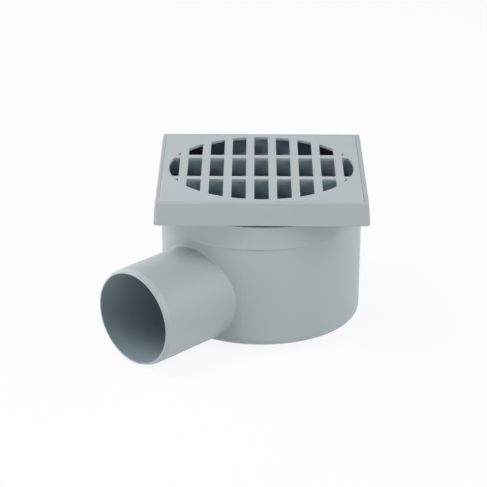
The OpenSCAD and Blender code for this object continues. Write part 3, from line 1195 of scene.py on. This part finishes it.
@dataclass
class Trap:
    """Cup that holds the water round its standpipe, and the bell that covers the standpipe."""

    wall: float = 1.6
    cup_r: float = 43.9
    cup_draft: float = 0.6
    cup_round: float = 3.0
    cup_base_z: float = 36.6
    flange_z: float = 68.6
    flange_t: float = 1.5
    flange_r: float = 46.35
    pipe_bore_r: float = 17.0
    pipe_rim_z: float = 61.2
    stub_h: float = 4.0
    bell_r: float = 28.0
    bell_draft: float = 0.5
    bell_round: float = 5.0
    bell_foot_z: float = 41.2
    crown_z: float = 68.8
    fin_count: int = 4
    fin_t: float = 1.5
    fin_reach: float = 8.0
    fin_inside: float = 5.0
    fin_slip: float = 0.4
    grip_l: float = 22.0
    grip_w: float = 2.5
    grip_h: float = 2.6
    grip_corner: float = 0.8
    grip_round: float = 0.5
    grip_sink: float = 0.4

    @property
    def pipe_r(self) -> float:
        """Outer radius of the standpipe."""
        return self.pipe_bore_r + self.wall

    def cup(self) -> Surface:
        """Turned cup: stub, floor, leaning wall, flange, and the standpipe in the middle.

        Returns:
            The cup.
        """
        top = self.flange_z + self.flange_t
        floor_z = self.cup_base_z + self.wall
        foot_r = self.cup_r - self.cup_draft
        corners = [
            (self.pipe_bore_r, self.cup_base_z - self.stub_h, 0.3),
            (self.pipe_r, self.cup_base_z - self.stub_h, 0.3),
            (self.pipe_r, self.cup_base_z, 0.4),
            (foot_r, self.cup_base_z, self.cup_round),
            (self.cup_r, self.flange_z, 0.2),
            (self.flange_r, self.flange_z, 0.15),
            (self.flange_r, top, 0.35),
            (self.cup_r - self.wall, top, 0.35),
            (foot_r - self.wall, floor_z, self.cup_round - self.wall),
            (self.pipe_r, floor_z, 0.6),
            (self.pipe_r, self.pipe_rim_z, 0.4),
            (self.pipe_bore_r, self.pipe_rim_z, 0.4),
        ]
        return turned(corners)

    def bell(self) -> Surface:
        """Turned bell: leaning wall, rounded shoulder and flat crown, open below.

        Returns:
            The bell without its fins and grip.
        """
        inner_top = self.crown_z - self.wall
        top_r, mouth_r = self.bell_r - self.bell_draft, self.bell_r
        corners = [
            (0, self.crown_z, 0),
            (top_r, self.crown_z, self.bell_round),
            (mouth_r, self.bell_foot_z, 0.4),
            (mouth_r - self.wall, self.bell_foot_z, 0.4),
            (top_r - self.wall, inner_top, self.bell_round - self.wall),
            (0, inner_top, 0),
        ]
        return turned(corners, count=144, steps=8)

    def fins(self) -> Surface:
        """Fins inside the bell that rest on the standpipe's rim and keep the bell in its middle.

        Returns:
            The solids to add.
        """
        wall_r = self.bell_r - self.bell_draft - self.wall / 2
        inner_r, high = self.pipe_bore_r - self.fin_inside, self.crown_z - self.wall / 2
        slip_r, low = self.pipe_r + self.fin_slip, self.pipe_rim_z - self.fin_reach
        outline = np.array(
            [
                (inner_r, self.pipe_rim_z),
                (slip_r, self.pipe_rim_z),
                (slip_r, low),
                (wall_r, low),
                (wall_r, self.crown_z - self.bell_round),
                (wall_r - self.bell_round + self.wall / 2, high),
                (inner_r, high),
            ]
        )
        flanks = (-self.fin_t / 2, self.fin_t / 2)
        sides = np.array([np.insert(outline, 1, y, axis=1) for y in flanks])
        return around(loft(sides, Ends.FLAT), self.fin_count)

    def grip(self) -> Surface:
        """Grip on the crown: a bar whose outline shrinks over a rounded top edge.

        At an angle t up the rounding of radius r the outline has shrunk by r times (1 - cos t), at
        a depth of r times (1 - sin t) below the top.

        Returns:
            The solid to add.
        """
        x, y = (-self.grip_l / 2, self.grip_l / 2), (-self.grip_w / 2, self.grip_w / 2)
        line = rectangle(x, y, self.grip_corner)
        layers = [(line, self.crown_z - self.grip_sink)]
        for t in np.radians([0, 22.5, 45, 67.5, 90]):
            z = self.crown_z + self.grip_h - self.grip_round * (1 - math.sin(t))
            layers.append((grown(line, -self.grip_round * (1 - math.cos(t))), z))
        return stacked(layers)

    def build(self, material: bpy.types.Material) -> None:
        """Makes the cup and the bell.

        Args:
            material: their plastic.
        """
        cup = raw_object("trap_cup_moulding", self.cup())
        cuts = [(Cut.ADD, self.fins()), (Cut.ADD, self.grip())]
        bell = shaped("trap_bell_moulding", self.bell(), cuts)
        finished(cup, Place("trap_cup", "frame_body", "trap_plastic"), material)
        finished(bell, Place("trap_bell", "frame_body", "trap_plastic"), material)


class Sheet:
    """Node tree of a material, world or group, with short ways to add and join nodes."""

    def __init__(self, tree: bpy.types.NodeTree) -> None:
        """Takes the tree to write in."""
        self.tree = tree

    def fill(self, node: bpy.types.Node, values: dict[str | int, object]) -> None:
        """Sets inputs of a node.

        Args:
            node: the node.
            values: by the input's name or number, a plain value or the socket that feeds it.
        """
        for name, value in values.items():
            if isinstance(value, Socket):
                self.tree.links.new(value, node.inputs[name])
            else:
                node.inputs[name].default_value = value

    def node(
        self, kind: str, values: dict[str | int, object] | None = None, **settings: object
    ) -> bpy.types.Node:
        """Adds a node.

        Args:
            kind: the node's type without its Shader prefix.
            values: what its inputs get.
            settings: values of the node's own fields.

        Returns:
            The node.
        """
        made = self.tree.nodes.new("ShaderNode" + kind)
        for name, value in settings.items():
            setattr(made, name, value)
        self.fill(made, values or {})
        return made

    def maths(self, operation: str, first: object, second: object, clamp: bool = False) -> Socket:
        """Result of a Math node, which clamp keeps between 0 and 1."""
        values = {0: first, 1: second}
        return self.node("Math", values, operation=operation, use_clamp=clamp).outputs[0]

    def noise(self, place: Socket, scale: float, detail: float = 2.0) -> Socket:
        """Noise of one scale, in turns to the metre, read at a place."""
        values = {"Vector": place, "Scale": scale, "Detail": detail}
        return self.node("TexNoise", values).outputs["Fac"]

    def spread(self, value: Socket, low: object, high: object) -> Socket:
        """Maps the middle of a noise to the range from low to high.

        Args:
            value: the noise.
            low: what the lower end of its middle becomes.
            high: what the upper end of its middle becomes.

        Returns:
            The result.
        """
        start, final = NOISE_MIDDLE
        ends = {"From Min": start, "From Max": final, "To Min": low, "To Max": high}
        return self.node("MapRange", {"Value": value, **ends}).outputs["Result"]


@dataclass(frozen=True)
class MouldedSkin:
    """Skin that the moulded pieces share. Scales are turns to the metre."""

    cloud_scale: float = 28.0
    cloud_detail: float = 3.0
    flow_scale: float = 140.0
    grain_scale: float = 2600.0
    # How much the painted edge highlight lightens the colour.
    edge_highlight_gain: float = 0.05
    wear_polish: float = 0.06
    flow_marks: float = 0.035
    waviness: float = 0.6

    def group(self) -> bpy.types.ShaderNodeTree:
        """Builds the shader group of the skin.

        The colour drifts with a slow cloud of noise and is lifted on sharp rounded edges, as a
        painted edge highlight. The roughness follows broad flow marks and drops on those edges. The
        height is a fine grain over a slow waviness, as on a polished mould that has been used for
        long.

        Returns:
            The group.
        """
        group = bpy.data.node_groups.new("moulded_skin", "ShaderNodeTree")
        for side, names in (
            ("INPUT", ("Colour", "Drift", "Roughness", "EdgeHighlight", "Grain")),
            ("OUTPUT", ("Colour", "Roughness", "Height")),
        ):
            for name in names:
                kind = "NodeSocketColor" if name == "Colour" else "NodeSocketFloat"
                group.interface.new_socket(name, in_out=side, socket_type=kind)
        sheet = Sheet(group)
        given = group.nodes.new("NodeGroupInput").outputs
        result = group.nodes.new("NodeGroupOutput")
        place = sheet.node("TexCoord").outputs["Object"]
        cloud = sheet.noise(place, self.cloud_scale, self.cloud_detail)
        flow = sheet.noise(place, self.flow_scale)
        grain = sheet.noise(place, self.grain_scale)
        less = sheet.maths("SUBTRACT", 1.0, given["Drift"])
        more = sheet.maths("ADD", 1.0, given["Drift"])
        # Painted highlight: sharp rounded edges are lightened.
        lit_edge = sheet.maths("MULTIPLY", given["EdgeHighlight"], self.edge_highlight_gain)
        gain = sheet.maths("ADD", sheet.spread(cloud, less, more), lit_edge)
        tinted = sheet.node("VectorMath", {0: given["Colour"], "Scale": gain}, operation="SCALE")
        marks = sheet.spread(flow, -self.flow_marks, self.flow_marks)
        rough = sheet.maths("ADD", given["Roughness"], marks)
        polish = sheet.maths("MULTIPLY", given["EdgeHighlight"], -self.wear_polish)
        fine = sheet.maths("MULTIPLY", grain, given["Grain"])
        slow = sheet.maths("MULTIPLY", flow, self.waviness)
        values = {
            "Colour": tinted.outputs["Vector"],
            "Roughness": sheet.maths("ADD", rough, polish, clamp=True),
            "Height": sheet.maths("ADD", fine, slow),
        }
        sheet.fill(result, values)
        return group


@dataclass(frozen=True)
class MouldedFinish:
    """Finish of one moulded material."""

    name: str
    colour: Colour
    roughness: float
    drift: float = 0.018
    # Strength of the painted edge highlight and of the smoother edges.
    edge_light: float = 1.0
    grain: float = 1.0
    bump_mm: float = 0.012
    specular: float = 0.5
    # Painted shade: darker, bluer colour of the faces inside the piece.
    inner_shade_colour: Colour | None = None

    def material(self, skin: bpy.types.ShaderNodeTree) -> bpy.types.Material:
        """Builds the material.

        Args:
            skin: the shared group of the moulded skin.

        Returns:
            The material.
        """
        made = bpy.data.materials.new(self.name)
        made.use_nodes = True
        made.diffuse_color = (*self.colour, 1)
        sheet = Sheet(made.node_tree)
        # Painted shade: faces inside the piece take the darker, bluer inner colour.
        inner = sheet.node("Attribute", attribute_name=INNER_SHADE).outputs["Fac"]
        # Painted highlight: mask of the sharp rounded edges that are lightened.
        edge_light = sheet.node("Attribute", attribute_name=EDGE_HIGHLIGHT).outputs["Fac"]
        shade_tones = {6: (*self.colour, 1), 7: (*(self.inner_shade_colour or self.colour), 1)}
        shaded_tone = sheet.node("Mix", {"Factor": inner, **shade_tones}, data_type="RGBA")
        values = {
            "Colour": shaded_tone.outputs[2],
            "Drift": self.drift,
            "Roughness": self.roughness,
            "EdgeHighlight": sheet.maths("MULTIPLY", edge_light, self.edge_light),
            "Grain": self.grain,
        }
        surface = sheet.node("Group", node_tree=skin)
        sheet.fill(surface, values)
        height = {"Distance": self.bump_mm * MM, "Height": surface.outputs["Height"]}
        values = {
            "Base Color": surface.outputs["Colour"],
            "Roughness": surface.outputs["Roughness"],
            "Normal": sheet.node("Bump", {"Strength": 1.0, **height}).outputs["Normal"],
            "Specular IOR Level": self.specular,
        }
        sheet.fill(made.node_tree.nodes["Principled BSDF"], values)
        return made


PALE_PLASTIC = MouldedFinish(
    name="satin_grey_plastic",
    colour=(0.373, 0.434, 0.443),
    roughness=0.42,
    specular=0.75,
    # painted shade of the faces inside
    inner_shade_colour=(0.333, 0.414, 0.454),
)
FRAME_PLASTIC = MouldedFinish(
    name="satin_grey_frame",
    colour=(0.376, 0.417, 0.43),
    roughness=0.42,
    specular=0.75,
    # painted shade of the faces inside
    inner_shade_colour=(0.336, 0.406, 0.45),
)
GRATE_PLASTIC = MouldedFinish(
    name="satin_grey_grating",
    colour=(0.417, 0.472, 0.499),
    roughness=0.4,
    specular=0.75,
    # painted shade of the faces inside
    inner_shade_colour=(0.322, 0.4, 0.45),
)
TRAP_PLASTIC = MouldedFinish(
    name="satin_dark_grey_plastic", colour=(0.016, 0.024, 0.05), roughness=0.4, drift=0.05
)
SEAL_RUBBER = MouldedFinish(
    name="matt_black_rubber",
    colour=(0.02, 0.021, 0.023),
    roughness=0.62,
    drift=0.15,
    edge_light=0.4,
    bump_mm=0.02,
    specular=0.4,
)


@dataclass(frozen=True)
class Lamp:
    """Soft area lamp: its height and its turn from the camera's side, in degrees, and its power."""

    name: str
    rise_deg: float
    turn_deg: float
    watts: float
    width_m: float = 0.7
    height_m: float = 0.7

    def away(self) -> np.ndarray:
        """Where the lamp hangs.

        Returns:
            Unit vector from the object to the lamp.
        """
        rise, turn = math.radians(self.rise_deg), math.radians(self.turn_deg)
        level = math.cos(rise)
        return np.array([level * math.sin(turn), -level * math.cos(turn), math.sin(rise)])


LAMPS = (
    Lamp("lamp_over_left", 60, -90, 1.9),
    Lamp("lamp_over_front", 60, -60, 6.1),
    Lamp("lamp_back_left", 40, -120, 3.9),
    Lamp("lamp_back_left_low", 20, -150, 2.6),
    Lamp("lamp_left_low", 8, -60, 4.1, height_m=0.4),
    Lamp("lamp_front_low", 8, -30, 1.8, height_m=0.4),
    Lamp("lamp_right_high", 40, 60, 4.6),
    Lamp("lamp_right_low", 20, 60, 4.25),
    Lamp("lamp_back_right", 20, 120, 3.1),
)


@dataclass
class Studio:
    """Plain pale studio: floor, surroundings, soft lamps and the camera."""

    floor_m: float = 6.0
    floor_colour: Colour = (0.9, 0.9, 0.9)
    floor_roughness: float = 0.9
    floor_glow: float = 0.9
    surround: float = 0.06
    lamps: tuple[Lamp, ...] = LAMPS
    lamp_reach: float = 1.3
    lamp_aim: tuple[float, float, float] = (0.0, 0.0, 0.04)
    pitch_deg: float = 21.80
    yaw_deg: float = -0.275
    roll_deg: float = 0.125
    focal_px: float = 2085.0
    view_scale: float = 0.7
    view_shift: tuple[float, float, float] = (13.28, 56.05, 1528.5)
    target_z: float = 81.3
    sight_m: float = 20.0

    def camera(self) -> None:
        """Makes the camera where the photograph was taken from.

        With the pitch p, the yaw q and the roll s, it looks along (sin q cos p, cos q cos p,
        -sin p), and its right and up are turned about that by s. view_shift is the middle of the
        top face as the camera sees it: right, up and ahead, before view_scale makes it
        millimetres.
        """
        pitch, yaw, roll = (math.radians(v) for v in (self.pitch_deg, self.yaw_deg, self.roll_deg))
        level = np.array([math.cos(yaw), -math.sin(yaw), 0.0])
        forward = np.array([math.sin(yaw), math.cos(yaw), 0.0])
        ahead = math.cos(pitch) * forward - math.sin(pitch) * UP
        raised = np.cross(level, ahead)
        right = math.cos(roll) * level + math.sin(roll) * raised
        up = math.cos(roll) * raised - math.sin(roll) * level
        seen = self.view_scale * np.stack([right, up, ahead]).T @ np.array(self.view_shift)
        data = bpy.data.cameras.new("studio_camera")
        data.sensor_width = SENSOR_MM
        data.lens = self.focal_px / IMAGE_SIZE * SENSOR_MM
        data.clip_end = self.sight_m
        place = (self.target_z * UP - seen) * MM
        camera = put("studio_camera", data, np.stack([right, up, -ahead]), place)
        bpy.context.scene.camera = camera

    def seen_directly(self, sheet: Sheet) -> Socket:
        """Tells the camera's rays from the others.

        Args:
            sheet: the node tree that asks.

        Returns:
            1 for what the camera sees, straight or by a reflection or through glass, else 0.
        """
        path = sheet.node("LightPath").outputs
        either = sheet.maths("ADD", path["Is Camera Ray"], path["Is Glossy Ray"])
        return sheet.maths("ADD", either, path["Is Transmission Ray"], clamp=True)

    def floor(self) -> None:
        """Makes the pale floor, which glows for the camera but keeps the object's shadow."""
        half = self.floor_m / 2
        corners = [(-half, -half, 0), (half, -half, 0), (half, half, 0), (-half, half, 0)]
        mesh = bpy.data.meshes.new("studio_floor")
        mesh.from_pydata(corners, [], [(0, 1, 2, 3)])
        material = bpy.data.materials.new("pale_floor")
        material.use_nodes = True
        nodes = material.node_tree.nodes
        sheet = Sheet(material.node_tree)
        values = {
            "Base Color": (*self.floor_colour, 1),
            "Roughness": self.floor_roughness,
            "Specular IOR Level": 0.0,
        }
        sheet.fill(nodes["Principled BSDF"], values)
        share = sheet.maths("MULTIPLY", self.seen_directly(sheet), self.floor_glow)
        lit = nodes["Principled BSDF"].outputs[0]
        glow = sheet.node("Emission").outputs[0]
        mixed = sheet.node("MixShader", {0: share, 1: lit, 2: glow})
        sheet.fill(nodes["Material Output"], {"Surface": mixed.outputs[0]})
        mesh.materials.append(material)
        floor = put("studio_floor", mesh)

    def surroundings(self) -> None:
        """Fills the world with soft light, and shows it pale to the camera."""
        world = bpy.data.worlds.new("studio_world")
        bpy.context.scene.world = world
        world.use_nodes = True
        world.node_tree.nodes.clear()
        sheet = Sheet(world.node_tree)
        soft = sheet.node("Background", {"Strength": self.surround}).outputs[0]
        pale = sheet.node("Background").outputs[0]
        mixed = sheet.node("MixShader", {0: self.seen_directly(sheet), 1: soft, 2: pale})
        sheet.node("OutputWorld", {"Surface": mixed.outputs[0]})

    def hang(self, lamp: Lamp) -> None:
        """Hangs a lamp round the object, facing it.

        Args:
            lamp: the lamp.
        """
        data = bpy.data.lights.new(lamp.name, "AREA")
        data.shape, data.energy = "RECTANGLE", lamp.watts
        data.size, data.size_y = lamp.width_m, lamp.height_m
        away = lamp.away()
        side = unit(np.cross(UP, away))
        axes = np.stack([side, np.cross(away, side), away])
        hung = put(lamp.name, data, axes, np.array(self.lamp_aim) + self.lamp_reach * away)
        hung.visible_camera = False

    def build(self) -> None:
        """Makes the whole studio."""
        self.camera()
        self.floor()
        self.surroundings()
        for lamp in self.lamps:
            self.hang(lamp)
        bpy.context.scene.view_settings.view_transform = "Standard"
        LOG.info("studio ready")


def main() -> None:
    """Builds the studio and every piece."""
    logging.basicConfig(level=logging.INFO, format="%(name)s: %(message)s")
    Studio().build()
    skin = MouldedSkin().group()
    rubber = SEAL_RUBBER.material(skin)
    Pot().build(PALE_PLASTIC.material(skin))
    TurningFrame().build(FRAME_PLASTIC.material(skin))
    Grating().build(GRATE_PLASTIC.material(skin))
    Seals().build(rubber)
    Trap().build(TRAP_PLASTIC.material(skin))


if __name__ == "__main__":
    main()
